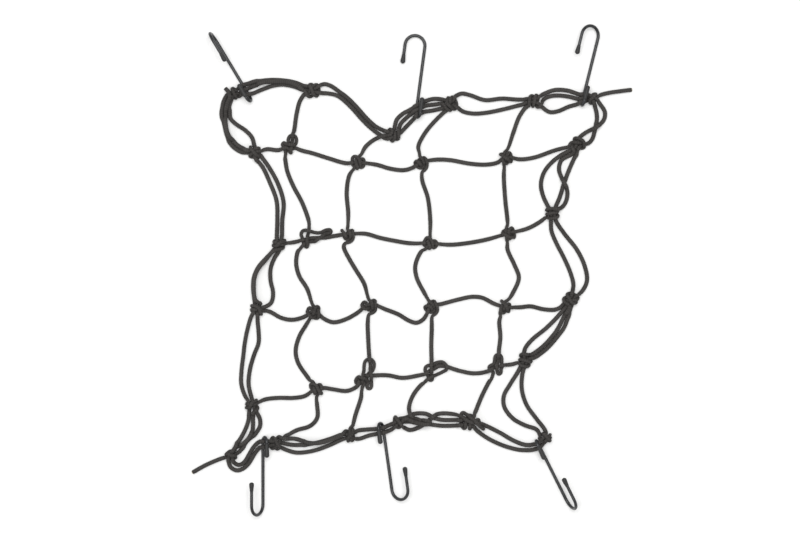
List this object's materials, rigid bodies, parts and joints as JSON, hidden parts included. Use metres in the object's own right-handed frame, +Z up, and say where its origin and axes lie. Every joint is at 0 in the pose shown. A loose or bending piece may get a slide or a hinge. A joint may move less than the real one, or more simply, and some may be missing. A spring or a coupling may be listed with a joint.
{
  "type": "elastic cargo net with wire hooks",
  "caption": "Square mesh of knotted black elastic cord with a doubled border, two loose cord tails and coated wire S-hooks round its edge, lying loose and flat.",
  "frame": {"origin": "the bottom centre of the whole object's box, on the surface that the net lies on", "axes": "+Z up from the surface; +X to the right and +Y to the far edge, where the first three hooks are"},
  "size_m": [0.4398, 0.4898, 0.0238],
  "materials": {
    "cord": "matt braided elastic cord, near black",
    "wire": "satin black coated steel wire",
    "tip": "satin dipped vinyl"
  },
  "bodies": {
    "root": {"border_a_bottom": "cord", "border_a_left": "cord", "border_a_right": "cord", "border_a_top": "cord", "border_b_bottom": "cord", "border_b_left": "cord", "border_b_right": "cord", "border_b_top": "cord", "column_1": "cord", "column_2": "cord", "column_3": "cord", "column_4": "cord", "hook_1_eye_tip": "tip", "hook_1_hook_tip": "tip", "hook_1_wire": "wire", "hook_2_eye_tip": "tip", "hook_2_hook_tip": "tip", "hook_2_wire": "wire", "hook_3_eye_tip": "tip", "hook_3_hook_tip": "tip", "hook_3_wire": "wire", "hook_4_eye_tip": "tip", "hook_4_hook_tip": "tip", "hook_4_wire": "wire", "hook_5_eye_tip": "tip", "hook_5_hook_tip": "tip", "hook_5_wire": "wire", "hook_6_eye_tip": "tip", "hook_6_hook_tip": "tip", "hook_6_wire": "wire", "row_1": "cord", "row_2": "cord", "row_3": "cord", "row_4": "cord", "warp_run_1": "cord", "warp_run_2": "cord", "warp_run_3": "cord", "warp_run_4": "cord", "warp_run_5": "cord", "weft_run_1": "cord", "weft_run_2": "cord", "weft_run_3": "cord", "weft_run_4": "cord", "weft_run_5": "cord"}
  },
  "joints": []
}
